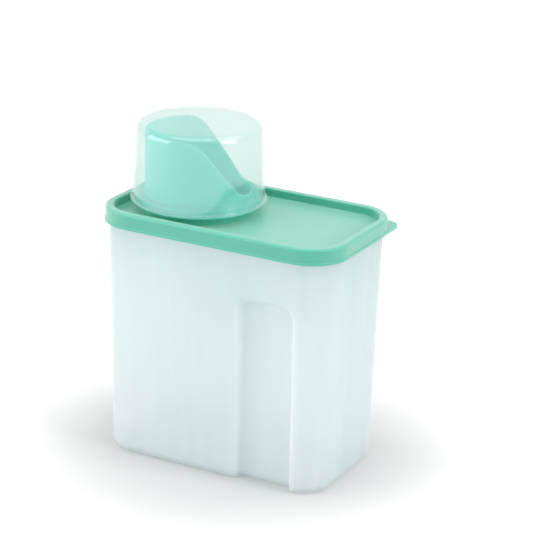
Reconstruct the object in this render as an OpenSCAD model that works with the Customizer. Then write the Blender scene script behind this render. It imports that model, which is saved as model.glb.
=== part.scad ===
// A two litre laundry powder box with rounded corners, a press-on lid, a turning pouring spout
// and a measuring cup that stands upside down over the spout as its cap.
// X runs along the box, with the spout at the left. Y runs from the front to the back.
// The origin is in the middle of the base, and Z points up.

/* [Container] */
// Length of the container at its mouth
body_length = 166.2; // [154:0.1:200]
// Width of the container at its mouth, from front to back
body_width = 98; // [96:0.1:120]
// Height of the container's rim above the base
body_height = 165.6; // [140:0.1:220]
// Radius of the upright corners at the mouth
corner_radius = 24; // [20:0.1:30]
// Lean of every wall from the upright, in degrees, so that the base is smaller than the mouth
wall_draft = 1.2; // [0.4:0.1:2]
// Thickness of the container's walls
body_wall = 1.4; // [1:0.1:2.4]
// Thickness of the container's floor
floor_thickness = 1.6; // [1.2:0.1:3]
// Radius of the rounded edge round the base
base_round = 6; // [3:0.1:8]
// Width of the flat ring that the container stands on
foot_width = 6; // [4:0.1:8]
// Height by which the middle of the base is pushed up
base_lift = 1; // [0.5:0.1:2]
// How far the bead round the rim stands out of the wall
rim_bead = 0.8; // [0.4:0.1:1.2]
// Height of the bead round the rim
rim_bead_height = 3; // [2:0.1:5]

/* [Grip] */
// Width of the finger recess in each broad side
grip_width = 40; // [30:0.1:46]
// Distance from the container's middle to the middle of the recess
grip_centre = 40; // [36:0.1:44]
// Height of the recess at the crown of its arch
grip_height = 126; // [100:0.1:134]
// Rise of the arch from its shoulders to its crown
grip_arch = 2.4; // [1:0.1:5]
// Radius of the two corners beside the arch
grip_corner = 5; // [2:0.1:8]
// Depth of the recess, measured from the wall at the mouth
grip_depth = 11.5; // [8:0.1:13]
// Lean of the sides of the recess, in degrees
grip_lean = 8; // [3:0.5:15]
// Radius of the upright corners inside the recess
grip_round = 3; // [1.5:0.1:4]
// Radius of the edge where the bottom of the recess meets the base
grip_base_round = 3; // [1:0.1:4]

/* [Lid] */
// Gap between the lid and the sides of the container's rim
lid_fit = 0.3; // [0.2:0.05:0.6]
// Gap between the lid and the top of the container's rim
lid_rest_gap = 0.2; // [0.1:0.05:0.4]
// Thickness of the lid's walls
lid_wall = 1.3; // [1:0.1:2]
// Thickness of the top of the raised rim
lid_top = 1.4; // [1:0.1:2]
// Thickness of the sunken panel
panel_thickness = 1.4; // [1:0.1:2]
// Depth of the panel below the raised rim
panel_depth = 5.2; // [4:0.1:7]
// Height of the skirt outside the container
skirt_height = 10.4; // [9:0.1:16]
// How far the lip along the bottom of the skirt stands out
skirt_lip = 0.5; // [0.3:0.1:1]
// Height of the lip along the bottom of the skirt
skirt_lip_height = 1.6; // [1:0.1:2.5]
// Rounding of the outer top edge
lid_round = 1.6; // [0.5:0.1:2]
// Rounding of the edge where the rim drops to the panel
rim_inner_round = 0.9; // [0.3:0.1:1.2]
// Thickness of the pull tab at one corner
tab_thickness = 2.4; // [1.6:0.1:4]
// Radius of the pull tab's corner
tab_corner = 8; // [4:0.1:14]
// How far the edges of the pull tab lie inside the edge of the lip
tab_inset = 0.2; // [0.1:0.05:0.4]

/* [Spout] */
// Outer radius of the spout's tube
spout_radius = 35; // [30:0.1:35.4]
// Thickness of the spout's wall
spout_wall = 1.4; // [1:0.1:2]
// How much wider the part is that turns in the lid
insert_step = 0.9; // [0.5:0.1:1.2]
// Gap between the spout and the collar that it turns in
turn_gap = 0.2; // [0.15:0.05:0.3]
// How far the snap bead under the lid stands out of the spout
snap_bead = 0.7; // [0.4:0.1:1]
// Height of the snap bead
snap_height = 2; // [1.4:0.1:3]
// Gap between the snap bead and the panel, and between the flange and the collar
snap_gap = 0.2; // [0.1:0.05:0.4]
// Wall of the lid's collar
collar_wall = 1.4; // [1:0.1:2]
// Height of the collar above the panel
collar_height = 9.1; // [8:0.1:14]
// Thickness of the spout's flange
flange_thickness = 1.4; // [1:0.1:2]
// Height of the plug that fills the mouth of the cup, down to the bottom of its seat
plug_height = 5; // [4:0.1:6]
// Thickness of the seat under the cup's lip
seat_thickness = 1; // [0.8:0.1:1.5]
// Width of the seat outside the plug
seat_width = 1.4; // [1:0.1:1.8]
// Angle of the mouth's slope from the level, in degrees
mouth_slope = 53; // [40:1:60]
// Distance from the axis to the bend between the flat top and the slope, against the slope
mouth_bend = 1; // [0:0.1:10]
// Height of the low side of the mouth above the flange
mouth_lip = 3; // [2:0.1:6]
// Radius of the bend from the flat top to the slope
mouth_top_round = 20; // [8:0.5:24]
// Radius of the bend from the slope to the low side
mouth_low_round = 9; // [4:0.5:12]
// Angle that the mouth is turned from the long side of the box, in degrees
mouth_turn = 29; // [0:1:180]

/* [Measuring cup] */
// Outer radius of the cup at its mouth
cup_radius = 42.9; // [42.4:0.1:44.2]
// How much smaller the cup's radius is at its top
cup_taper = 1.9; // [1:0.1:3]
// Height of the cup
cup_height = 51.2; // [46:0.1:70]
// Thickness of the cup's wall
cup_wall = 1.2; // [1:0.1:1.6]
// Thickness of the cup's flat top
cup_roof = 1.3; // [1:0.1:2]
// Radius of the cup's top edge
cup_round = 5.5; // [2:0.1:8]
// How far the lip round the cup's mouth stands out
cup_lip = 1.4; // [0.8:0.1:1.6]
// Height of the lip round the cup's mouth
cup_lip_height = 1.6; // [1:0.1:3]
// Gap between the cup and the plug inside its mouth
cup_fit = 0.4; // [0.3:0.05:0.6]
// Gap between the cup and the seat under it
cup_rest_gap = 0.2; // [0.1:0.05:0.4]
// Gap seen from above between the cup's lip and the rim of the lid
cup_edge_gap = 0.6; // [0.3:0.1:3]
// Gap between the top of the spout and the roof of the cup
spout_headroom = 4; // [1:0.1:6]

/* [Hidden] */
$fn = 120;
arc_step = 15;
past = 1;
reach = 300;

// Centres of the four upright corners, shared by every section of the container and the lid
corner_x = body_length / 2 - corner_radius;
corner_y = body_width / 2 - corner_radius;

// Radii of the container, measured from the centres of its corners
base_radius = corner_radius - body_height * tan(wall_draft);
rim_inner_radius = corner_radius - body_wall;
bead_radius = corner_radius + rim_bead;
foot_outer = base_radius - base_round;
foot_inner = foot_outer - foot_width;
lift_run = base_lift * 1.5;

// The finger recess
grip_floor = body_width / 2 - grip_depth;

// Radii of the lid, measured from the centres of its corners
lid_channel_outer = bead_radius + lid_fit;
lid_channel_inner = rim_inner_radius - lid_fit;
lid_outer = lid_channel_outer + lid_wall;
lid_inner = lid_channel_inner - lid_wall;
lip_outer = lid_outer + skirt_lip;

// Heights of the lid
channel_top = body_height + lid_rest_gap;
rim_top = channel_top + lid_top;
panel_top = rim_top - panel_depth;
panel_bottom = panel_top - panel_thickness;
skirt_bottom = rim_top - skirt_height;
lip_top = skirt_bottom + skirt_lip_height;
collar_top = panel_top + collar_height;

// The cup stands at the left end, and the spout and the collar share its axis
cup_lip_radius = cup_radius + cup_lip;
spout_x = -(corner_x + lid_inner - cup_edge_gap - cup_lip_radius);

// Radii of the spout and its collar
insert_radius = spout_radius + insert_step;
collar_bore = insert_radius + turn_gap;
collar_radius = collar_bore + collar_wall;
spout_bore = spout_radius - spout_wall;
insert_bore = insert_radius - spout_wall;
cup_mouth_bore = cup_radius - cup_wall;
plug_radius = cup_mouth_bore - cup_fit;
plug_bore = plug_radius - spout_wall;
seat_radius = plug_radius + seat_width;

// Heights of the spout and the cup
snap_top = panel_bottom - snap_gap;
snap_bottom = snap_top - snap_height;
flange_bottom = collar_top + snap_gap;
flange_top = flange_bottom + flange_thickness;
seat_bottom = flange_top - plug_height;
seat_top = seat_bottom + seat_thickness;
cup_base = seat_top + cup_rest_gap;
cup_top = cup_base + cup_height;
roof_bottom = cup_top - cup_roof;
spout_top = roof_bottom - spout_headroom;
mouth_low = flange_top + mouth_lip;

frosted = [0.86, 0.93, 0.93, 0.75];
mint = [0.47, 0.78, 0.70];
mint_pale = [0.55, 0.82, 0.75];
clear_white = [0.90, 0.96, 0.96, 0.5];

// Position i of a list that closes on itself
function at(list, i) = list[(i + len(list)) % len(list)];

// Points of the round that replaces one corner of an outline, given the points before and after it
function bend(before, corner, after, radius) =
    let (back = before - corner, ahead = after - corner)
    let (back_dir = back / norm(back), ahead_dir = ahead / norm(ahead))
    let (half = acos(back_dir * ahead_dir) / 2)
    let (middle = (back_dir + ahead_dir) / norm(back_dir + ahead_dir))
    let (centre = corner + middle * radius / sin(half))
    let (first = corner + back_dir * radius / tan(half) - centre)
    let (side = back_dir[0] * ahead_dir[1] - back_dir[1] * ahead_dir[0] > 0 ? -1 : 1)
    let (sweep = side * (180 - 2 * half), steps = ceil(abs(sweep) / arc_step))
    [for (k = [0 : steps]) let (a = sweep * k / steps)
        centre + [first[0] * cos(a) - first[1] * sin(a), first[0] * sin(a) + first[1] * cos(a)]];

// An outline from points [x, y, radius], with each corner rounded by its radius
function rounded(points) = [for (i = [0 : len(points) - 1])
    let (p = points[i], here = [p[0], p[1]])
    let (before = [at(points, i - 1)[0], at(points, i - 1)[1]])
    let (after = [at(points, i + 1)[0], at(points, i + 1)[1]])
    each p[2] > 0 ? bend(before, here, after, p[2]) : [here]];

// Carries a section round the rounded rectangle: its x runs outward from the corner centres
module around() {
    for (corner = [[1, 1, 0], [-1, 1, 90], [-1, -1, 180], [1, -1, 270]])
        translate([corner[0] * corner_x, corner[1] * corner_y, 0])
            rotate(corner[2]) rotate_extrude(angle = 90) children();
    for (turn = [0, 180]) rotate(turn) {
        translate([corner_x, corner_y, 0]) rotate([90, 0, 0])
            linear_extrude(2 * corner_y) children();
        translate([-corner_x, corner_y, 0]) rotate([90, 0, 90])
            linear_extrude(2 * corner_x) children();
    }
}

// The level block between the four corner centres
module middle(bottom, top) {
    translate([-corner_x, -corner_y, bottom])
        cube([2 * corner_x, 2 * corner_y, top - bottom]);
}

// The container as a full block, with its rounded base, foot ring and rim bead
module outer_block() {
    around() polygon(rounded([
        [0, base_lift, 0],
        [foot_inner - lift_run, base_lift, 0],
        [foot_inner, 0, 0],
        [base_radius, 0, base_round],
        [corner_radius - rim_bead_height * tan(wall_draft), body_height - rim_bead_height - rim_bead, 0],
        [bead_radius, body_height - rim_bead_height, 0],
        [bead_radius, body_height, rim_bead / 2],
        [0, body_height, 0]]));
    middle(base_lift, body_height);
}

// The room inside the container, without the recesses
module inner_block() {
    inside_radius = base_radius - body_wall;
    floor_radius = base_round - body_wall / 2;
    around() polygon(rounded([
        [0, base_lift + floor_thickness, 0],
        [foot_inner - lift_run, base_lift + floor_thickness, 0],
        [foot_inner, floor_thickness, 0],
        [inside_radius + floor_thickness * tan(wall_draft), floor_thickness, floor_radius],
        [rim_inner_radius + past * tan(wall_draft), body_height + past, 0],
        [0, body_height + past, 0]]));
    middle(base_lift + floor_thickness, body_height + past);
}

// The finger recess in the front, grown by a wall where it is cut out of the room inside, and rounded
// under where it meets the level called bottom
module grip_cut(grow, bottom) {
    mouth_y = body_width / 2 + past;
    half = grip_width / 2 + grow / cos(grip_lean);
    floor_y = grip_floor - grow;
    mouth_half = half + past * tan(grip_lean);
    floor_half = half - (body_width / 2 - floor_y) * tan(grip_lean);
    side_half = grip_width / 2 + grow;
    top = grip_height + grow;
    shoulder = top - grip_arch;
    arch_radius = (side_half * side_half + grip_arch * grip_arch) / (2 * grip_arch);
    arch_end = asin((side_half - grip_corner) / arch_radius);
    intersection() {
        translate([grip_centre, 0, -past]) linear_extrude(top + 2 * past)
            polygon(rounded([
                [-mouth_half, -mouth_y, 0],
                [mouth_half, -mouth_y, 0],
                [floor_half, -floor_y, grip_round + grow],
                [-floor_half, -floor_y, grip_round + grow]]));
        translate([grip_centre, 0, 0]) rotate([90, 0, 0]) linear_extrude(mouth_y + past)
            polygon(rounded([
                [-side_half, -2 * past, 0],
                [side_half, -2 * past, 0],
                [side_half, shoulder, grip_corner],
                for (k = [2 : -1 : -2]) let (a = arch_end * k / 2)
                    [arch_radius * sin(a), top - arch_radius * (1 - cos(a)), 0],
                [-side_half, shoulder, grip_corner]]));
    }
    translate([grip_centre - floor_half, 0, 0]) rotate([90, 0, 90]) linear_extrude(2 * floor_half)
        polygon(rounded([
            [-mouth_y, bottom + grip_base_round, 0],
            [-floor_y, bottom + grip_base_round, 0],
            [-floor_y, bottom, grip_base_round],
            [grip_base_round - floor_y, bottom, 0],
            [grip_base_round - floor_y, bottom - past, 0],
            [-mouth_y, bottom - past, 0]]));
}

module container() {
    color(frosted) difference() {
        outer_block();
        for (side = [0, 1]) mirror([0, side, 0]) grip_cut(0, 0);
        difference() {
            inner_block();
            for (side = [0, 1]) mirror([0, side, 0]) grip_cut(body_wall, floor_thickness);
        }
    }
}

// The flat pull tab that squares off one corner of the lid
module pull_tab() {
    tab = lip_outer - tab_inset;
    translate([corner_x, corner_y, skirt_bottom]) difference() {
        linear_extrude(tab_thickness) polygon(rounded([
            [0, 0, 0], [tab, 0, 0], [tab, tab, tab_corner], [0, tab, 0]]));
        translate([0, 0, -past]) cylinder(h = tab_thickness + 2 * past, r = lid_channel_outer);
    }
}

module lid() {
    color(mint) difference() {
        union() {
            around() polygon(rounded([
                [0, panel_bottom, 0],
                [lid_channel_inner, panel_bottom, 0],
                [lid_channel_inner, channel_top, 0],
                [lid_channel_outer, channel_top, 0],
                [lid_channel_outer, skirt_bottom, 0],
                [lip_outer, skirt_bottom, 0],
                [lip_outer, lip_top - skirt_lip, 0],
                [lid_outer, lip_top, 0],
                [lid_outer, rim_top, lid_round],
                [lid_inner, rim_top, rim_inner_round],
                [lid_inner, panel_top, 0],
                [0, panel_top, 0]]));
            middle(panel_bottom, panel_top);
            translate([spout_x, 0, panel_bottom])
                cylinder(h = collar_top - panel_bottom, r = collar_radius);
            pull_tab();
        }
        translate([spout_x, 0, panel_bottom - past])
            cylinder(h = collar_top - panel_bottom + 2 * past, r = collar_bore);
    }
}

// Everything above the slanted mouth, with the low side towards +X
module mouth_cut() {
    fall = spout_top - mouth_low;
    translate([0, reach / 2, 0]) rotate([90, 0, 0]) linear_extrude(reach)
        polygon(rounded([
            [-spout_radius - past, spout_top, 0],
            [-mouth_bend, spout_top, mouth_top_round],
            [fall / tan(mouth_slope) - mouth_bend, mouth_low, mouth_low_round],
            [spout_radius + reach, mouth_low, 0],
            [spout_radius + reach, spout_top + past, 0],
            [-spout_radius - past, spout_top + past, 0]]));
}

module spout() {
    color(mint_pale) translate([spout_x, 0, 0]) difference() {
        rotate_extrude() polygon([
            [insert_bore, snap_bottom],
            [insert_radius, snap_bottom],
            [insert_radius + snap_bead, snap_top - snap_bead],
            [insert_radius + snap_bead, snap_top],
            [insert_radius, snap_top],
            [insert_radius, flange_bottom],
            [plug_bore, flange_bottom],
            [plug_bore, seat_bottom],
            [seat_radius, seat_bottom],
            [seat_radius, seat_top],
            [plug_radius, seat_top],
            [plug_radius, flange_top],
            [spout_radius, flange_top],
            [spout_radius, spout_top],
            [spout_bore, spout_top],
            [spout_bore, flange_top],
            [insert_bore, flange_top - insert_step]]);
        rotate(mouth_turn) mouth_cut();
    }
}

module measuring_cup() {
    top_radius = cup_radius - cup_taper;
    color(clear_white) translate([spout_x, 0, 0]) rotate_extrude() polygon(rounded([
        [0, roof_bottom, 0],
        [top_radius - cup_wall, roof_bottom, cup_round - cup_wall],
        [cup_mouth_bore, cup_base, 0],
        [cup_lip_radius, cup_base, 0],
        [cup_lip_radius, cup_base + cup_lip_height, cup_lip_height / 3],
        [cup_radius, cup_base + cup_lip_height, 0],
        [top_radius, cup_top, cup_round],
        [0, cup_top, 0]]));
}

container();
lid();
spout();
measuring_cup();
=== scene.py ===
"""Looks of a two litre laundry powder box: frosted container, mint lid and spout, clear measuring cup.

Every piece is a surface worked out with numpy from the sizes below, in millimetres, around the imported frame.
"""

import math

import bpy
import numpy as np
from mathutils import Matrix, Vector


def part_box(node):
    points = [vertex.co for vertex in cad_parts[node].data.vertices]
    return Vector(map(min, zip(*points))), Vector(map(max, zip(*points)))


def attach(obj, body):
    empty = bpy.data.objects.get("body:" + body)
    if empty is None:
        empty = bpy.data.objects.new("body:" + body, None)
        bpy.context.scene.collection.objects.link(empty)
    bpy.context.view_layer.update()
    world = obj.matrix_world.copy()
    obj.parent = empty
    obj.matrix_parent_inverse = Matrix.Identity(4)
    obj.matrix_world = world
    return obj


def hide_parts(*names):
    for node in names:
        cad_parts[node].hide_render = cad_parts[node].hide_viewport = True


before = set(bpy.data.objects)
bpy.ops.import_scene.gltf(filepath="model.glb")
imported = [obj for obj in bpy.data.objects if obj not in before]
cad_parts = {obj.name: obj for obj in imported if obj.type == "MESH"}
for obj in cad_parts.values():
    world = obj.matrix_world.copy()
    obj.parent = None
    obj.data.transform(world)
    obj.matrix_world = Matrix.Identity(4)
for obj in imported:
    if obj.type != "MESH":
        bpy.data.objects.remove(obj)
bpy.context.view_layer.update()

MM = 0.001


def box_mm(name):
    """Lowest and highest corner of a CAD node, in millimetres."""
    low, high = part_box(name)
    return np.array(low) / MM, np.array(high) / MM


# Sizes that the frame gives
CONTAINER_LOW, CONTAINER_HIGH = box_mm("container")
LID_LOW, LID_HIGH = box_mm("lid")
SPOUT_LOW, SPOUT_HIGH = box_mm("spout")
CUP_LOW, CUP_HIGH = box_mm("measuring_cup")

# Container, as in the part
CORNER_RADIUS = 24.0
RIM_BEAD = 0.8
RIM_BEAD_HEIGHT = 3.0
WALL_DRAFT = math.radians(1.2)
BODY_WALL = 1.4
FLOOR = 1.6
BASE_ROUND = 6.0
FOOT_WIDTH = 6.0
BASE_LIFT = 1.0
RIM_TOP_ROUND = 0.4
RIM_REACH = 6.0
FOOT_ROUND = 2.0
FOOT_RAMP = 1.5
BODY_HEIGHT = CONTAINER_HIGH[2]
BEAD_RADIUS = CORNER_RADIUS + RIM_BEAD
CORNER_X = CONTAINER_HIGH[0] - BEAD_RADIUS
CORNER_Y = CONTAINER_HIGH[1] - BEAD_RADIUS
BASE_RADIUS = CORNER_RADIUS - BODY_HEIGHT * math.tan(WALL_DRAFT)

# Finger recess
GRIP_CENTRE = 40.0
GRIP_WIDTH = 40.0
GRIP_HEIGHT = 126.0
GRIP_ARCH = 2.4
GRIP_CORNER = 5.0
GRIP_DEPTH = 11.5
GRIP_LEAN = math.radians(8.0)
GRIP_ROUND = 3.0
GRIP_EDGE_ROUND = 2.0
GRIP_BASE_ROUND = 3.0

# Rows and columns of the container's wall: how far the fine ones reach past the recess's outline, how many
# there are of each, and how much higher the rows lie inside
FINE_OUTSIDE = 3.2
FINE_INSIDE = 7.0
FINE_COLUMNS = 41
PLAIN_COLUMNS = 26
FLOOR_COLUMNS = 14
FINE_BELOW = 13.0
FINE_ABOVE = 5.0
FINE_ROWS = 56
LOW_ROWS = 22
HIGH_ROWS = 7
INSIDE_RAISE = 0.35
CORNER_STEPS = 24
TAB_STEPS = 72
AROUND = 240

# Lid
LID_FIT = 0.3
LID_WALL = 1.3
PANEL_DEPTH = 5.2
PANEL_THICKNESS = 1.4
LID_TOP = 1.4
LID_REST_GAP = 0.2
SKIRT_LIP = 0.5
SKIRT_LIP_HEIGHT = 1.6
LID_ROUND = 1.6
RIM_INNER_ROUND = 0.9
TAB_THICKNESS = 2.4
TAB_CORNER = 8.0
TAB_INSET = 0.2
TAB_EDGE_ROUND = 0.7
LIP_EDGE_ROUND = 0.22
COLLAR_WALL = 1.4
SMALL_ROUND = 0.3
PANEL_FOOT_ROUND = 0.5
COLLAR_EDGE_ROUND = 0.4
SKIRT_FILLET = 0.25
TAB_EASE = math.radians(9.0)
SKIRT_BOTTOM = LID_LOW[2]
COLLAR_TOP = LID_HIGH[2]
CHANNEL_TOP = BODY_HEIGHT + LID_REST_GAP
RIM_TOP = CHANNEL_TOP + LID_TOP
PANEL_TOP = RIM_TOP - PANEL_DEPTH
CHANNEL_OUTER = BEAD_RADIUS + LID_FIT
CHANNEL_INNER = CORNER_RADIUS - BODY_WALL - LID_FIT
LID_OUTER = CHANNEL_OUTER + LID_WALL
LID_INNER = CHANNEL_INNER - LID_WALL
LIP_OUTER = LID_OUTER + SKIRT_LIP

# Spout
SPOUT_X = (CUP_LOW[0] + CUP_HIGH[0]) / 2
SPOUT_RADIUS = 35.0
SPOUT_WALL = 1.4
INSERT_STEP = 0.9
TURN_GAP = 0.2
SNAP_BEAD = 0.7
SNAP_HEIGHT = 2.0
FLANGE_GAP = 0.2
FLANGE_THICKNESS = 1.4
PLUG_HEIGHT = 5.0
SEAT_THICKNESS = 1.0
SEAT_WIDTH = 1.4
MOUTH_SLOPE = math.radians(53.0)
MOUTH_BEND = 1.0
MOUTH_LIP = 3.0
MOUTH_TOP_ROUND = 20.0
MOUTH_LOW_ROUND = 9.0
MOUTH_TURN = math.radians(29.0)
MOUTH_EDGE_ROUND = 0.55
SPOUT_TOP = SPOUT_HIGH[2]
FLANGE_BOTTOM = COLLAR_TOP + FLANGE_GAP
FLANGE_TOP = FLANGE_BOTTOM + FLANGE_THICKNESS
INSERT_RADIUS = SPOUT_RADIUS + INSERT_STEP
COLLAR_BORE = INSERT_RADIUS + TURN_GAP
COLLAR_RADIUS = COLLAR_BORE + COLLAR_WALL

# Measuring cup
CUP_RADIUS = 42.9
CUP_TAPER = 1.9
CUP_WALL = 1.2
CUP_ROOF = 1.3
CUP_ROUND = 5.5
CUP_LIP_HEIGHT = 1.6
CUP_FIT = 0.4
CUP_LIP_RADIUS = (CUP_HIGH[0] - CUP_LOW[0]) / 2
CUP_BASE = CUP_LOW[2]
CUP_TOP = CUP_HIGH[2]
PLUG_RADIUS = CUP_RADIUS - CUP_WALL - CUP_FIT

# How close two rows of points lie beside a rounded edge, which keeps the flat beside it flat, and the same
# on the tab's flat faces
EDGE_STEP = 0.25
EDGE_HOLD = 0.3


def rounded(points, segments=8, hold=EDGE_STEP):
    """An open outline from points (a, b, radius): each corner becomes an arc of that radius, tangent to
    both sides, and each arc has one point more on either side, hold away, so that smooth shading leaves
    flats flat."""
    points = np.array(points, float)
    out = [points[0, :2]]
    for before, here, after in zip(points[:-2], points[1:-1], points[2:]):
        corner = here[:2]
        back = before[:2] - corner
        ahead = after[:2] - corner
        back_length, ahead_length = np.linalg.norm(back), np.linalg.norm(ahead)
        back, ahead = back / back_length, ahead / ahead_length
        half = math.acos(np.clip(back @ ahead, -1, 1)) / 2
        if here[2] <= 0 or half > math.radians(89.5):
            out += [corner + back * min(hold, back_length / 3), corner,
                    corner + ahead * min(hold, ahead_length / 3)]
            continue
        reach = here[2] / math.tan(half)
        middle = (back + ahead) / np.linalg.norm(back + ahead)
        centre = corner + middle * here[2] / math.sin(half)
        start = corner + back * reach - centre
        turn = math.pi - 2 * half
        side = -1 if back[0] * ahead[1] - back[1] * ahead[0] > 0 else 1
        angles = side * np.linspace(0, turn, segments + 1)
        arc = centre + np.stack([start[0] * np.cos(angles) - start[1] * np.sin(angles),
                                 start[0] * np.sin(angles) + start[1] * np.cos(angles)], 1)
        out.append(corner + back * (reach + min(hold, (back_length - reach) / 3)))
        out += list(arc)
        out.append(corner + ahead * (reach + min(hold, (ahead_length - reach) / 3)))
    out.append(points[-1, :2])
    return np.array(out)


def skin(name, rows, material, ring=False):
    """A closed mesh from rows of points, an array (rows, columns, 3) in millimetres. Columns always
    close round. With ring, the last row joins the first, as on a tube. Otherwise the end rows are
    poles, each one point."""
    rows = np.asarray(rows, float)
    count, around = rows.shape[:2]
    column = np.arange(around)
    following = (column + 1) % around
    if ring:
        points = rows.reshape(-1, 3)
        first = np.arange(count)[:, None] * around
        second = ((np.arange(count) + 1) % count)[:, None] * around
        quads = np.stack([first + column, first + following, second + following, second + column], -1)
        faces = quads.reshape(-1, 4).tolist()
    else:
        inner = rows[1:-1]
        points = np.concatenate([inner.reshape(-1, 3), rows[:1, 0], rows[-1:, 0]])
        first = np.arange(count - 3)[:, None] * around
        second = first + around
        quads = np.stack([first + column, first + following, second + following, second + column], -1)
        start, end = (count - 2) * around, (count - 2) * around + 1
        last = (count - 3) * around
        fan_start = np.stack([np.full(around, start), following, column], -1)
        fan_end = np.stack([np.full(around, end), last + column, last + following], -1)
        faces = quads.reshape(-1, 4).tolist() + fan_start.tolist() + fan_end.tolist()
    mesh = bpy.data.meshes.new(name)
    mesh.from_pydata((points * MM).tolist(), [], faces)
    mesh.validate()
    mesh.polygons.foreach_set("use_smooth", np.ones(len(mesh.polygons), bool))
    volume = signed_volume(mesh)
    if volume < 0:
        mesh.flip_normals()
    piece = bpy.data.objects.new(name, mesh)
    bpy.context.scene.collection.objects.link(piece)
    mesh.materials.append(material)
    return piece


def signed_volume(mesh):
    """Six times the volume inside a closed mesh, as the sum of its triangles' triple products."""
    mesh.calc_loop_triangles()
    corners = np.zeros(len(mesh.loop_triangles) * 3, np.int32)
    mesh.loop_triangles.foreach_get("vertices", corners)
    points = np.zeros(len(mesh.vertices) * 3, np.float32)
    mesh.vertices.foreach_get("co", points)
    triangles = points.reshape(-1, 3).astype(float)[corners.reshape(-1, 3)]
    return float(np.einsum("ij,ij->i", triangles[:, 0], np.cross(triangles[:, 1], triangles[:, 2])).sum())


def box_path(front_x, end_steps, corner_steps):
    """Points round the rectangle of the four corner centres, each with its outward direction. At a
    corner the point stays and the direction turns by a quarter. Along a side the direction stays and
    the point moves, stopping at front_x on the broad sides. The path starts at the +X side and goes
    anticlockwise."""
    centres, directions = [], []
    ends = np.linspace(-CORNER_Y, CORNER_Y, end_steps + 1)[1:-1]
    broad = np.asarray(front_x, float)
    broad = broad[(broad > -CORNER_X + 0.01) & (broad < CORNER_X - 0.01)]
    sides = [([(CORNER_X, y) for y in ends], (1, 0)),
             ([(x, CORNER_Y) for x in broad[::-1]], (0, 1)),
             ([(-CORNER_X, y) for y in ends[::-1]], (-1, 0)),
             ([(x, -CORNER_Y) for x in broad], (0, -1))]
    corners = [(CORNER_X, CORNER_Y), (-CORNER_X, CORNER_Y), (-CORNER_X, -CORNER_Y), (CORNER_X, -CORNER_Y)]
    for turn, ((line, direction), corner, steps) in enumerate(zip(sides, corners, corner_steps)):
        centres += line
        directions += [direction] * len(line)
        angles = np.linspace(0, math.pi / 2, steps + 1) + turn * math.pi / 2
        centres += [corner] * len(angles)
        directions += list(zip(np.cos(angles), np.sin(angles)))
    return np.array(centres), np.array(directions)


def sweep(centres, directions, section):
    """Rows of points: a section point (share, radius, height) lies at share times the corner centre,
    plus radius times the outward direction, so that a share below 1 draws the middle together to one
    point."""
    section = np.asarray(section, float)
    flat = section[:, 0, None, None] * centres + section[:, 1, None, None] * directions
    heights = np.broadcast_to(section[:, 2, None, None], flat.shape[:2] + (1,))
    return np.concatenate([flat, heights], -1)


def with_share(outline):
    """Section points for a whole outline of (radius, height), each at the full share."""
    return np.column_stack([np.ones(len(outline)), outline])


def step_profile(distance, depth, lean, edge_round, foot_round):
    """Depth of a recess at a distance inside its outline: an arc of edge_round bends in from the flat
    wall, a straight side leans by lean from the upright, and an arc of foot_round bends out to the full
    depth."""
    turn = math.pi / 2 - lean
    edge_reach = edge_round * math.tan(turn / 2)
    foot_reach = foot_round * math.tan(turn / 2)
    side = distance / math.tan(lean)
    into_edge = np.clip(distance + edge_reach, 0, edge_round * math.sin(turn))
    edge = edge_round - np.sqrt(np.maximum(edge_round ** 2 - into_edge ** 2, 0))
    full = depth * math.tan(lean) + foot_reach
    into_foot = np.clip(full - distance, 0, foot_round * math.sin(turn))
    foot = depth - foot_round + np.sqrt(np.maximum(foot_round ** 2 - into_foot ** 2, 0))
    edge_end = -edge_reach + edge_round * math.sin(turn)
    foot_start = full - foot_round * math.sin(turn)
    value = np.where(distance < edge_end, edge, np.where(distance < foot_start, side, foot))
    return np.clip(value, 0, depth)


def press_recesses(points, grow, top_of_round):
    """Presses both finger recesses into rows of wall points. A point's depth follows its distance
    inside the recess outline, an arch between two upright sides with rounded corners, and stops at the
    recess floor, which is upright and rounds under at the base. grow is 0 outside and the wall's
    thickness inside."""
    x, y, z = points[..., 0], points[..., 1], points[..., 2]
    half = GRIP_WIDTH / 2 + grow
    across = np.abs(x - GRIP_CENTRE)
    arch_radius = (half ** 2 + GRIP_ARCH ** 2) / (2 * GRIP_ARCH)
    crown_drop = arch_radius - np.sqrt(np.maximum(arch_radius ** 2 - np.minimum(across, half) ** 2, 0))
    side_gap = half - across
    top_gap = GRIP_HEIGHT + grow - crown_drop - z
    corner = GRIP_CORNER + grow
    short_side, short_top = corner - side_gap, corner - top_gap
    beyond = np.hypot(np.maximum(short_side, 0), np.maximum(short_top, 0))
    distance = corner - (beyond + np.minimum(np.maximum(short_side, short_top), 0))
    round_under = np.maximum(top_of_round - z, 0)
    round_under = np.minimum(round_under, GRIP_BASE_ROUND)
    under = GRIP_BASE_ROUND - np.sqrt(np.maximum(GRIP_BASE_ROUND ** 2 - round_under ** 2, 0))
    floor = CORNER_Y + CORNER_RADIUS - GRIP_DEPTH - grow - under
    excess = np.maximum(np.abs(y) - floor, 0)
    edge_round = max(GRIP_EDGE_ROUND - grow, 0.4)
    depth = step_profile(distance, excess, GRIP_LEAN, edge_round, GRIP_ROUND + grow)
    pressed = points.copy()
    pressed[..., 1] = np.sign(y) * (np.abs(y) - np.minimum(depth, excess))
    return pressed


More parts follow.
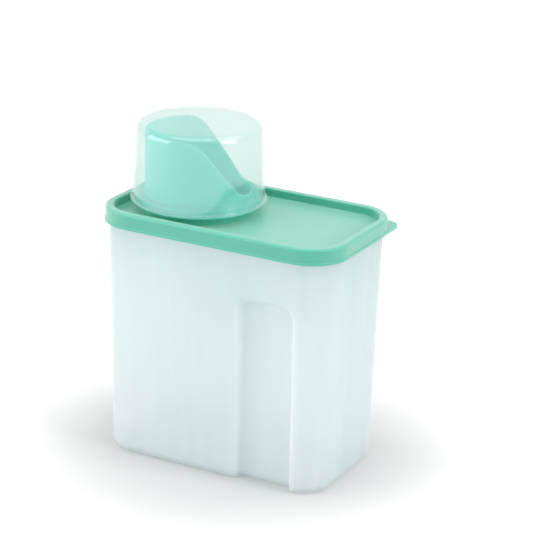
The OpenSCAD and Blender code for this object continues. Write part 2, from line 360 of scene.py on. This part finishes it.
def make_container(material):
    """One moulding: a section from the middle of the base, round the foot ring and up the drafted wall
    to the beaded rim, then down inside to the middle of the floor, carried round the box, with both
    recesses pressed in."""
    edge = np.linspace(-FINE_OUTSIDE, FINE_INSIDE, FINE_COLUMNS)
    left = GRIP_CENTRE - GRIP_WIDTH / 2
    right = GRIP_CENTRE + GRIP_WIDTH / 2
    front_x = np.unique(np.round(np.concatenate([
        np.linspace(-CORNER_X, left - 4, PLAIN_COLUMNS), left + edge,
        np.linspace(left + 8, right - 8, FLOOR_COLUMNS),
        right - edge, [right + 4, right + 8, right + 12]]), 4))
    centres, directions = box_path(front_x, 12, [CORNER_STEPS] * 4)
    foot_outer = BASE_RADIUS - BASE_ROUND
    foot_inner = foot_outer - FOOT_WIDTH
    ramp = FOOT_RAMP * BASE_LIFT
    near_arch = np.linspace(GRIP_HEIGHT - FINE_BELOW, GRIP_HEIGHT + FINE_ABOVE, FINE_ROWS)
    below_arch = np.linspace(BASE_ROUND + 4, GRIP_HEIGHT - FINE_BELOW - 3, LOW_ROWS)
    above_arch = np.linspace(GRIP_HEIGHT + FINE_ABOVE + 3, BODY_HEIGHT - 8, HIGH_ROWS)
    wall_heights = np.concatenate([below_arch, near_arch, above_arch])

    lean = math.tan(WALL_DRAFT)
    foot_end = BASE_ROUND + 3
    outside = rounded([
        (0, BASE_LIFT, 0), (foot_inner - ramp, BASE_LIFT, FOOT_ROUND), (foot_inner, 0, FOOT_ROUND),
        (BASE_RADIUS, 0, BASE_ROUND), (BASE_RADIUS + foot_end * lean, foot_end, 0)], segments=12)
    outside_wall = np.stack([BASE_RADIUS + wall_heights * lean, wall_heights], 1)
    bead_foot = RIM_BEAD_HEIGHT + RIM_BEAD
    rim = rounded([
        (CORNER_RADIUS - RIM_REACH * lean, BODY_HEIGHT - RIM_REACH, 0),
        (CORNER_RADIUS - bead_foot * lean, BODY_HEIGHT - bead_foot, SMALL_ROUND),
        (BEAD_RADIUS, BODY_HEIGHT - RIM_BEAD_HEIGHT, SMALL_ROUND), (BEAD_RADIUS, BODY_HEIGHT, RIM_TOP_ROUND),
        (CORNER_RADIUS - BODY_WALL, BODY_HEIGHT, RIM_TOP_ROUND),
        (CORNER_RADIUS - BODY_WALL - RIM_REACH * lean, BODY_HEIGHT - RIM_REACH, 0)], segments=5)
    inside_heights = wall_heights[::-1] + INSIDE_RAISE
    inside_wall = np.stack([BASE_RADIUS - BODY_WALL + inside_heights * lean, inside_heights], 1)
    floor_top = BASE_LIFT + FLOOR
    inside = rounded([
        (BASE_RADIUS - BODY_WALL + foot_end * lean, foot_end, 0),
        (BASE_RADIUS - BODY_WALL, FLOOR, BASE_ROUND - BODY_WALL / 2),
        (foot_inner, FLOOR, FOOT_ROUND), (foot_inner - ramp, floor_top, FOOT_ROUND), (0, floor_top, 0)],
        segments=12)
    outer = sweep(centres, directions, np.concatenate([
        [(0, 0, BASE_LIFT), (0.5, 0, BASE_LIFT)], with_share(outside), with_share(outside_wall)]))
    top = sweep(centres, directions, with_share(rim))
    inner = sweep(centres, directions, np.concatenate([
        with_share(inside_wall), with_share(inside), [(0.5, 0, floor_top), (0, 0, floor_top)]]))
    outer = press_recesses(outer, 0.0, GRIP_BASE_ROUND)
    inner = press_recesses(inner, BODY_WALL, FLOOR + GRIP_BASE_ROUND)
    return skin("container_shell", np.concatenate([outer, top, inner]), material)


def tab_reach(directions):
    """How far the pull tab reaches from its corner centre in each direction: to a square corner that is
    rounded by an arc, found by following the direction to the straight edge or to that arc."""
    size = LIP_OUTER - TAB_INSET
    dx, dy = directions[:, 0], directions[:, 1]
    in_corner = (dx > 0) & (dy > 0)
    straight = size / np.maximum(np.maximum(dx, dy), 0.1)
    inner = size - TAB_CORNER
    along = inner * (dx + dy)
    arc = along + np.sqrt(np.maximum(along ** 2 - 2 * inner ** 2 + TAB_CORNER ** 2, 0))
    on_arc = (straight * np.minimum(dx, dy)) > inner
    reach = np.where(on_arc, arc, straight)
    return np.where(in_corner, np.maximum(reach, LIP_OUTER), LIP_OUTER)


def make_lid(material):
    """One moulding: a section that closes on itself, from the foot of the collar's bore, out under the
    panel, up and over the rim's channel, down and round the skirt's lip, over the raised rim to the
    panel, and up and over the collar. Between the box's outline and the collar's circle the panel is
    flat. At one corner the lip reaches out and becomes the pull tab."""
    front_x = np.linspace(-CORNER_X, CORNER_X, 84)
    centres, directions = box_path(front_x, 36, [TAB_STEPS] + [CORNER_STEPS] * 3)
    panel_bottom = PANEL_TOP - PANEL_THICKNESS
    channel = rounded([
        (CHANNEL_INNER - 6, panel_bottom, 0), (CHANNEL_INNER, panel_bottom, SMALL_ROUND),
        (CHANNEL_INNER, CHANNEL_TOP, SMALL_ROUND), (CHANNEL_OUTER, CHANNEL_TOP, SMALL_ROUND),
        (CHANNEL_OUTER, SKIRT_BOTTOM + 2, 0)], segments=4)
    skirt = rounded([
        (LID_OUTER, SKIRT_BOTTOM + SKIRT_LIP_HEIGHT + 1.6, 0), (LID_OUTER, RIM_TOP, LID_ROUND),
        (LID_INNER, RIM_TOP, RIM_INNER_ROUND), (LID_INNER, PANEL_TOP, PANEL_FOOT_ROUND),
        (LID_INNER - 4, PANEL_TOP, 0)], segments=8)

    in_tab = (directions[:, 0] > 0) & (directions[:, 1] > 0)
    turn = np.arctan2(directions[:, 1], directions[:, 0])
    ease = np.clip(np.minimum(turn, math.pi / 2 - turn) / TAB_EASE, 0, 1)
    share = np.where(in_tab, ease * ease * (3 - 2 * ease), 0.0)
    reach = tab_reach(directions)
    height = SKIRT_LIP_HEIGHT + share * (TAB_THICKNESS - SKIRT_LIP_HEIGHT)
    edge = LIP_EDGE_ROUND + share * (TAB_EDGE_ROUND - LIP_EDGE_ROUND)
    lip_rows = []

    def lip_row(radius, z):
        flat = centres + np.asarray(radius)[:, None] * directions
        lip_rows.append(np.column_stack([flat, np.broadcast_to(z, len(centres))]))

    every = np.ones(len(centres))
    lip_row(CHANNEL_OUTER * every, SKIRT_BOTTOM + 0.5 * every)
    lip_row(CHANNEL_OUTER * every, SKIRT_BOTTOM + 0.2 * every)
    lip_row((CHANNEL_OUTER + 0.2) * every, SKIRT_BOTTOM * every)
    lip_row((CHANNEL_OUTER + 0.5) * every, SKIRT_BOTTOM * every)
    hold = EDGE_HOLD * share
    lip_row(reach - edge - 0.02 - hold, SKIRT_BOTTOM * every)
    quarter = np.linspace(0, math.pi / 2, 6)
    for a in quarter:
        lip_row(reach - edge + edge * math.sin(a), SKIRT_BOTTOM + edge - edge * math.cos(a))
    for a in quarter:
        lip_row(reach - edge + edge * math.cos(a), SKIRT_BOTTOM + height - edge + edge * math.sin(a))
    lip_row(np.maximum(reach - edge - hold, LID_OUTER + 0.26), SKIRT_BOTTOM + height)
    fillet = SKIRT_FILLET
    for a in quarter:
        lip_row((LID_OUTER + fillet - fillet * math.sin(a)) * every,
                SKIRT_BOTTOM + height + fillet - fillet * math.cos(a))
    lip_row(LID_OUTER * every, SKIRT_BOTTOM + height + fillet + EDGE_STEP)

    boundary = centres + LID_INNER * directions
    middle = np.array([SPOUT_X, 0.0])
    outward = boundary - middle
    outward = outward / np.linalg.norm(outward, axis=1)[:, None]

    def circle_rows(outline):
        flat = middle + outline[:, 0, None, None] * outward
        heights = np.broadcast_to(outline[:, 1, None, None], flat.shape[:2] + (1,))
        return np.concatenate([flat, heights], -1)

    collar = circle_rows(rounded([
        (COLLAR_RADIUS + 1.5, PANEL_TOP, 0), (COLLAR_RADIUS, PANEL_TOP, PANEL_FOOT_ROUND),
        (COLLAR_RADIUS, COLLAR_TOP, COLLAR_EDGE_ROUND), (COLLAR_BORE, COLLAR_TOP, COLLAR_EDGE_ROUND),
        (COLLAR_BORE, panel_bottom, SMALL_ROUND), (COLLAR_BORE + 1.5, panel_bottom, 0)], segments=6))
    rows = np.concatenate([
        sweep(centres, directions, with_share(channel)), np.array(lip_rows),
        sweep(centres, directions, with_share(skirt)), collar])
    return skin("lid_moulding", rows, material, ring=True)


def mouth_height(along):
    """Height of the slanted mouth at a distance along its fall: level at the top, an arc, a straight
    slope, a tighter arc, and level again at the low lip."""
    low = FLANGE_TOP + MOUTH_LIP
    top_bend = -MOUTH_BEND
    low_bend = top_bend + (SPOUT_TOP - low) / math.tan(MOUTH_SLOPE)
    top_start = top_bend - MOUTH_TOP_ROUND * math.tan(MOUTH_SLOPE / 2)
    top_run = MOUTH_TOP_ROUND * math.sin(MOUTH_SLOPE)
    low_end = low_bend + MOUTH_LOW_ROUND * math.tan(MOUTH_SLOPE / 2)
    low_run = MOUTH_LOW_ROUND * math.sin(MOUTH_SLOPE)
    into_top = np.clip(along - top_start, 0, top_run)
    top_arc = SPOUT_TOP - MOUTH_TOP_ROUND + np.sqrt(MOUTH_TOP_ROUND ** 2 - into_top ** 2)
    into_low = np.clip(low_end - along, 0, low_run)
    low_arc = low + MOUTH_LOW_ROUND - np.sqrt(MOUTH_LOW_ROUND ** 2 - into_low ** 2)
    slope = SPOUT_TOP - (along - top_bend) * math.tan(MOUTH_SLOPE)
    upper = np.where(along < top_start + top_run, top_arc, slope)
    return np.where(along > low_end - low_run, low_arc, upper)


def revolve(outline, angles, centre_x):
    """Rows of points: an outline of (radius, height) turned about the upright axis at centre_x."""
    outline = np.asarray(outline, float)
    x = centre_x + outline[:, 0, None] * np.cos(angles)
    y = outline[:, 0, None] * np.sin(angles)
    z = np.broadcast_to(outline[:, 1, None], x.shape)
    return np.stack([x, y, z], -1)


def make_spout(material):
    """One moulding: a revolved section that closes on itself, from the tube's inside down to the
    insert, round its snap bead, up to the hollow plug and its seat, and up outside the tube. The top
    rows follow the slanted mouth, with both edges of the rim rounded."""
    angles = np.linspace(0, 2 * math.pi, AROUND + 1)[:-1]
    bore = SPOUT_RADIUS - SPOUT_WALL
    insert_bore = INSERT_RADIUS - SPOUT_WALL
    snap_top = PANEL_TOP - PANEL_THICKNESS - FLANGE_GAP
    snap_bottom = snap_top - SNAP_HEIGHT
    seat_bottom = FLANGE_TOP - PLUG_HEIGHT
    seat_top = seat_bottom + SEAT_THICKNESS
    outline = rounded([
        (bore, FLANGE_TOP + 1.2, 0), (bore, FLANGE_TOP, 1.5), (insert_bore, FLANGE_TOP - INSERT_STEP, 1.5),
        (insert_bore, snap_bottom, SMALL_ROUND), (INSERT_RADIUS, snap_bottom, SMALL_ROUND),
        (INSERT_RADIUS + SNAP_BEAD, snap_top - SNAP_BEAD, SMALL_ROUND),
        (INSERT_RADIUS + SNAP_BEAD, snap_top, 0.2), (INSERT_RADIUS, snap_top, 0.1),
        (INSERT_RADIUS, FLANGE_BOTTOM, SMALL_ROUND),
        (PLUG_RADIUS - SPOUT_WALL, FLANGE_BOTTOM, 0.4), (PLUG_RADIUS - SPOUT_WALL, seat_bottom, 0.2),
        (PLUG_RADIUS + SEAT_WIDTH, seat_bottom, SMALL_ROUND),
        (PLUG_RADIUS + SEAT_WIDTH, seat_top, SMALL_ROUND),
        (PLUG_RADIUS, seat_top, 0.2), (PLUG_RADIUS, FLANGE_TOP, 0.6), (SPOUT_RADIUS, FLANGE_TOP, 0.9),
        (SPOUT_RADIUS, FLANGE_TOP + 1.6, 0)], segments=5)
    lower = revolve(outline, angles, SPOUT_X)

    def tube_rows(radius, shares, inset):
        across = radius * np.cos(angles - MOUTH_TURN)
        rim = mouth_height(across) - inset
        start = FLANGE_TOP + 1.8
        rows = [start + (rim - start) * share for share in shares]
        x, y = SPOUT_X + radius * np.cos(angles), radius * np.sin(angles)
        return [np.column_stack([x, y, z]) for z in rows]

    up = np.linspace(0.06, 0.94, 22)
    edge = MOUTH_EDGE_ROUND
    rim_rows = []
    for a in np.linspace(0, math.pi / 2, 6):
        radius = SPOUT_RADIUS - edge + edge * math.cos(a)
        rim_rows += tube_rows(radius, [1.0], edge - edge * math.sin(a))
    for a in np.linspace(math.pi / 2, 0, 6):
        radius = bore + edge - edge * math.cos(a)
        rim_rows += tube_rows(radius, [1.0], edge - edge * math.sin(a))
    outside = tube_rows(SPOUT_RADIUS, list(up) + [1.0], edge + 0.25)
    inside = tube_rows(bore, [1.0] + list(up[::-1]), edge + 0.25)
    rows = np.concatenate([lower, np.array(outside), np.array(rim_rows), np.array(inside)])
    return skin("spout_moulding", rows, material, ring=True)


def make_cup(material):
    """One moulding: a revolved section from the middle of the flat top, over its rounded edge, down the
    tapered side to the lip, and back up inside to the middle of the roof."""
    angles = np.linspace(0, 2 * math.pi, AROUND + 1)[:-1]
    top_radius = CUP_RADIUS - CUP_TAPER
    mouth_bore = CUP_RADIUS - CUP_WALL
    roof = CUP_TOP - CUP_ROOF
    outline = rounded([
        (0, CUP_TOP, 0), (top_radius, CUP_TOP, CUP_ROUND), (CUP_RADIUS, CUP_BASE + CUP_LIP_HEIGHT, 0.4),
        (CUP_LIP_RADIUS, CUP_BASE + CUP_LIP_HEIGHT, 0.5), (CUP_LIP_RADIUS, CUP_BASE, 0.4),
        (mouth_bore, CUP_BASE, 0.5), (top_radius - CUP_WALL, roof, CUP_ROUND - CUP_WALL), (0, roof, 0)],
        segments=10)
    return skin("cup_moulding", revolve(outline, angles, SPOUT_X), material)


def srgb(text):
    """Linear red, green, blue and alpha from an sRGB hex colour."""
    parts = [int(text[i:i + 2], 16) / 255 for i in (1, 3, 5)]
    return tuple(p / 12.92 if p <= 0.04045 else ((p + 0.055) / 1.055) ** 2.4 for p in parts) + (1.0,)


def add(tree, kind, inputs=None, links=None, **settings):
    """Adds a node, sets its settings and input values, and joins its inputs to other nodes' outputs."""
    made = tree.nodes.new(kind)
    for key, value in settings.items():
        setattr(made, key, value)
    for key, value in (inputs or {}).items():
        made.inputs[key].default_value = value
    for key, source in (links or {}).items():
        tree.links.new(source, made.inputs[key])
    return made


def new_material(name):
    """An empty node material and its tree."""
    material = bpy.data.materials.new(name)
    material.use_nodes = True
    material.node_tree.nodes.clear()
    return material, material.node_tree


def moulded_bump(tree, grain_mm, grain_height_mm, flow_mm, flow_height_mm):
    """The surface of a moulding as a bump: fine grain from the mould's eroded face, and long soft waves
    where the plastic flowed and shrank. Both are noise on Object coordinates, sized in millimetres."""
    place = add(tree, "ShaderNodeTexCoord").outputs["Object"]
    grain = add(tree, "ShaderNodeTexNoise", {"Scale": 1 / (grain_mm * MM), "Detail": 2.0}, {"Vector": place})
    flow = add(tree, "ShaderNodeTexNoise", {"Scale": 1 / (flow_mm * MM), "Detail": 1.0}, {"Vector": place})
    waves = add(tree, "ShaderNodeBump", {"Strength": 1.0, "Distance": flow_height_mm * MM},
                {"Height": flow.outputs["Fac"]})
    fine = add(tree, "ShaderNodeBump", {"Strength": 1.0, "Distance": grain_height_mm * MM},
               {"Height": grain.outputs["Fac"], "Normal": waves.outputs["Normal"]})
    return fine.outputs["Normal"], place


def see_through(tree, clear, milky, straight, slanted, streaks=None):
    """Mixes a clear shader with a milky one. The milky share is straight where the wall is looked at
    squarely, and rises to slanted where the line of sight runs a long way inside it, with the cube of
    the slant. Streaks, where given, take the place of straight, because a moulded wall isn't equally
    milky all over."""
    slant = add(tree, "ShaderNodeLayerWeight", {"Blend": 0.5}).outputs["Facing"]
    cube = add(tree, "ShaderNodeMath", {1: 3.0}, {0: slant}, operation="POWER")
    links = {"Value": cube.outputs[0]}
    if streaks is not None:
        links["To Min"] = streaks
    share = add(tree, "ShaderNodeMapRange", {"To Min": straight, "To Max": slanted}, links)
    mixed = add(tree, "ShaderNodeMixShader", None, {0: share.outputs["Result"], 1: clear, 2: milky})
    return mixed.outputs[0]


def frosted_polypropylene():
    """Natural polypropylene, injection moulded in a mould with an eroded face: milky, lit through from
    both sides, with a soft broad gloss, so that what is behind a wall shows only as a faint change of
    tone."""
    material, tree = new_material("frosted_polypropylene_moulded")
    normal, place = moulded_bump(tree, 0.9, 0.012, 38, 0.5)
    front = add(tree, "ShaderNodeBsdfPrincipled", {
        "Base Color": srgb("#EFF4F5"), "Roughness": 0.38, "IOR": 1.49}, {"Normal": normal})
    through = add(tree, "ShaderNodeBsdfTranslucent", {"Color": srgb("#F5F8F9")}, {"Normal": normal})
    milky = add(tree, "ShaderNodeMixShader", {0: 0.7}, {1: front.outputs[0], 2: through.outputs[0]})
    clear = add(tree, "ShaderNodeBsdfTransparent", {"Color": srgb("#FDFEFE")})
    tall = add(tree, "ShaderNodeMapping", {"Scale": (1, 1, 0.12)}, {"Vector": place})
    streak = add(tree, "ShaderNodeTexNoise", {"Scale": 1 / (16 * MM), "Detail": 1.0},
                 {"Vector": tall.outputs[0]})
    share = add(tree, "ShaderNodeMapRange", {
        "From Min": 0.3, "From Max": 0.7, "To Min": 0.70, "To Max": 0.76}, {"Value": streak.outputs["Fac"]})
    surface = see_through(tree, clear.outputs[0], milky.outputs[0], 0.73, 0.82, share.outputs["Result"])
    add(tree, "ShaderNodeOutputMaterial", None, {"Surface": surface})
    return material


def mint_moulding(name, colour, shade, glow, through, roughness, coat, haze):
    """Coloured polypropylene, injection moulded: an even pigment with a faint cloudiness, a satin haze
    that pales it at a slant, a coat of gloss, and a share of light let through the wall, in the colour
    of glow."""
    material, tree = new_material(name)
    normal, place = moulded_bump(tree, 0.8, 0.008, 30, 0.25)
    cloud = add(tree, "ShaderNodeTexNoise", {"Scale": 1 / (24 * MM), "Detail": 3.0}, {"Vector": place})
    tone = add(tree, "ShaderNodeMix", None, {"Factor": cloud.outputs["Fac"]}, data_type="RGBA")
    tone.inputs["A"].default_value = srgb(shade)
    tone.inputs["B"].default_value = srgb(colour)
    front = add(tree, "ShaderNodeBsdfPrincipled", {
        "Roughness": roughness, "IOR": 1.6, "Coat Weight": coat, "Coat Roughness": 0.12,
        "Sheen Weight": haze, "Sheen Roughness": 0.5, "Sheen Tint": (0.95, 1, 1, 1),
        "Subsurface Weight": 0.5, "Subsurface Radius": (0.7, 1.0, 0.9), "Subsurface Scale": 2.0 * MM},
        {"Base Color": tone.outputs["Result"], "Normal": normal})
    back = add(tree, "ShaderNodeBsdfTranslucent", {"Color": srgb(glow)}, {"Normal": normal})
    surface = add(tree, "ShaderNodeMixShader", {0: through}, {1: front.outputs[0], 2: back.outputs[0]})
    add(tree, "ShaderNodeOutputMaterial", None, {"Surface": surface.outputs[0]})
    return material


def clear_polypropylene():
    """Clarified polypropylene, injection moulded against a polished face: nearly clear, with a faint
    haze and a crisp gloss that rises at a slant. Most lamplight passes through it, so its shadow stays
    light."""
    material, tree = new_material("clear_polypropylene_polished")
    normal, place = moulded_bump(tree, 2.0, 0.004, 26, 0.25)
    haze = add(tree, "ShaderNodeBsdfPrincipled", {
        "Base Color": srgb("#CDE0DD"), "Roughness": 0.12, "IOR": 1.49,
        "Coat Weight": 1.0, "Coat Roughness": 0.05}, {"Normal": normal})
    clear = add(tree, "ShaderNodeBsdfTransparent", {"Color": srgb("#F8FCFB")})
    body = see_through(tree, clear.outputs[0], haze.outputs[0], 0.11, 0.46)
    gloss = add(tree, "ShaderNodeBsdfGlossy", {"Color": srgb("#FFFFFF"), "Roughness": 0.08},
                {"Normal": normal})
    slant = add(tree, "ShaderNodeLayerWeight", {"Blend": 0.5}).outputs["Facing"]
    graze = add(tree, "ShaderNodeMath", {1: 5.0}, {0: slant}, operation="POWER")
    mirror = add(tree, "ShaderNodeMapRange", {"To Min": 0.045, "To Max": 0.3}, {"Value": graze.outputs[0]})
    shadow = add(tree, "ShaderNodeLightPath").outputs["Is Shadow Ray"]
    glossy = add(tree, "ShaderNodeMixShader", None, {0: mirror.outputs[0], 1: body, 2: gloss.outputs[0]})
    passing = add(tree, "ShaderNodeMath", {1: 0.8}, {0: shadow}, operation="MULTIPLY")
    surface = add(tree, "ShaderNodeMixShader", None, {
        0: passing.outputs[0], 1: glossy.outputs[0], 2: clear.outputs[0]})
    add(tree, "ShaderNodeOutputMaterial", None, {"Surface": surface.outputs[0]})
    return material


def dress(piece, body, node):
    """The piece rides on its body and stands for its CAD node, which is hidden."""
    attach(piece, body)
    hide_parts(node)


# The camera's view, fitted to the lid, the base line and the cup
VIEW_TURN = math.radians(28.11)
VIEW_RISE = math.radians(19.68)
VIEW_ROLL = math.radians(-1.56)
VIEW_DISTANCE = 1408.49
VIEW_TARGET = np.array([15.82, 0.0, 131.21])
VIEW_FOCUS_PX = 2196.21
PHOTO_SIZE_PX = 533
SENSOR = 36.0


def make_camera():
    """Looks at the target from its turn and rise, rolled about the line of sight, with the fitted
    lens."""
    back = Vector((math.sin(VIEW_TURN) * math.cos(VIEW_RISE), -math.cos(VIEW_TURN) * math.cos(VIEW_RISE),
                   math.sin(VIEW_RISE)))
    right = (-back).cross(Vector((0, 0, 1))).normalized()
    up = right.cross(-back)
    c, s = math.cos(VIEW_ROLL), math.sin(VIEW_ROLL)
    right_rolled = right * c - up * s
    up_rolled = right * s + up * c
    camera = bpy.data.cameras.new("camera")
    camera.lens = SENSOR * VIEW_FOCUS_PX / PHOTO_SIZE_PX
    camera.sensor_width = SENSOR
    camera.clip_end = 20
    made = bpy.data.objects.new("camera", camera)
    rotation = Matrix((right_rolled, up_rolled, back)).transposed().to_4x4()
    place = (Vector(VIEW_TARGET) + back * VIEW_DISTANCE) * MM
    made.matrix_world = Matrix.Translation(place) @ rotation
    bpy.context.scene.collection.objects.link(made)
    bpy.context.scene.camera = made


def seen_directly(tree):
    """1 for rays from the camera or through gloss and clear plastic, 0 for those that only carry
    light."""
    path = add(tree, "ShaderNodeLightPath")
    first = add(tree, "ShaderNodeMath", None, {
        0: path.outputs["Is Camera Ray"], 1: path.outputs["Is Glossy Ray"]}, operation="MAXIMUM")
    both = add(tree, "ShaderNodeMath", None, {
        0: first.outputs[0], 1: path.outputs["Is Transmission Ray"]}, operation="MAXIMUM")
    return both.outputs[0]


def make_floor():
    """A plain pale floor that keeps the box's soft shadow. Seen directly it glows a little, and more
    with the distance from the middle, so that it turns into the white backdrop without an edge. This glow is
    painted light, and the floor close round the box, where it glows least, is darker than the lamps alone make
    it."""
    size = 4.0
    mesh = bpy.data.meshes.new("floor")
    corners = [(-size, -size, 0), (size, -size, 0), (size, size, 0), (-size, size, 0)]
    mesh.from_pydata(corners, [], [(0, 1, 2, 3)])
    floor = bpy.data.objects.new("floor", mesh)
    bpy.context.scene.collection.objects.link(floor)
    material, tree = new_material("pale_floor")
    plain = add(tree, "ShaderNodeBsdfDiffuse", {"Color": (0.75, 0.75, 0.75, 1)})
    pale = add(tree, "ShaderNodeBsdfDiffuse", {"Color": (0.66, 0.66, 0.66, 1)})
    place = add(tree, "ShaderNodeTexCoord").outputs["Object"]
    far = add(tree, "ShaderNodeVectorMath", None, {0: place}, operation="LENGTH")
    # Painted light: the floor's glow rises from nothing near the box to full at 0.21 m, so the floor round the
    # box keeps a painted darker ring besides its real shadow
    glow = add(tree, "ShaderNodeMapRange", {
        "From Min": 0.06, "From Max": 0.21, "To Min": 0.0, "To Max": 0.45},
        {"Value": far.outputs["Value"]}, interpolation_type="SMOOTHSTEP")
    lift = add(tree, "ShaderNodeEmission", {"Color": (1, 1, 1, 1)}, {"Strength": glow.outputs["Result"]})
    lifted = add(tree, "ShaderNodeAddShader", None, {0: pale.outputs[0], 1: lift.outputs[0]})
    mixed = add(tree, "ShaderNodeMixShader", None, {
        0: seen_directly(tree), 1: plain.outputs[0], 2: lifted.outputs[0]})
    add(tree, "ShaderNodeOutputMaterial", None, {"Surface": mixed.outputs[0]})
    mesh.materials.append(material)


def make_light():
    """Plain soft studio light: a pale sky all round that shows as white, a broad light overhead, a
    narrow strip beside it that draws the highlights along the edges, and a panel on the left, the right
    and in front."""
    world = bpy.data.worlds.new("studio")
    bpy.context.scene.world = world
    world.use_nodes = True
    tree = world.node_tree
    tree.nodes.clear()
    white = add(tree, "ShaderNodeBackground", {"Color": (1, 1, 1, 1), "Strength": 1.0})
    sky = add(tree, "ShaderNodeBackground", {"Color": (1, 1, 1, 1), "Strength": 0.56})
    mixed = add(tree, "ShaderNodeMixShader", None, {
        0: seen_directly(tree), 1: sky.outputs[0], 2: white.outputs[0]})
    add(tree, "ShaderNodeOutputWorld", None, {"Surface": mixed.outputs[0]})
    overhead = bpy.data.lights.new("overhead", "SUN")
    overhead.angle = math.radians(75)
    overhead.energy = 0.92
    lamps = [(overhead, (0.2, 0.1, 1.5))]
    for name, place, width, power in (("left_panel", (-1.0, -0.85, 0.5), 1.2, 8.8),
                                      ("right_panel", (1.17, -0.05, 0.8), 0.5, 6.9),
                                      ("front_panel", (0.4, -1.35, 0.35), 0.5, 0.9),
                                      ("top_strip", (-0.12, -0.03, 1.3), 0.12, 1.8)):
        panel = bpy.data.lights.new(name, "AREA")
        panel.shape = "RECTANGLE"
        panel.size, panel.size_y = width, 0.9
        panel.energy = power
        lamps.append((panel, place))
    for lamp, place in lamps:
        made = bpy.data.objects.new(lamp.name, lamp)
        towards = Vector((0, 0, 0.1)) - Vector(place)
        turned = towards.to_track_quat("-Z", "Y").to_matrix().to_4x4()
        made.matrix_world = Matrix.Translation(Vector(place)) @ turned
        bpy.context.scene.collection.objects.link(made)


bpy.context.scene.view_settings.view_transform = "Standard"
make_camera()
make_floor()
make_light()
mint = mint_moulding("mint_polypropylene_moulded", "#50C3A9", "#4CBFA5", "#A0EAD2", 0.15, 0.45, 0.45, 0.8)
mint_spout = mint_moulding("mint_spout_polypropylene_moulded", "#82E5DA", "#7EE1D6", "#B8F9F2",
                           0.5, 0.3, 1.0, 0.3)
dress(make_container(frosted_polypropylene()), "container", "container")
dress(make_lid(mint), "lid", "lid")
dress(make_spout(mint_spout), "spout", "spout")
dress(make_cup(clear_polypropylene()), "measuring_cup", "measuring_cup")
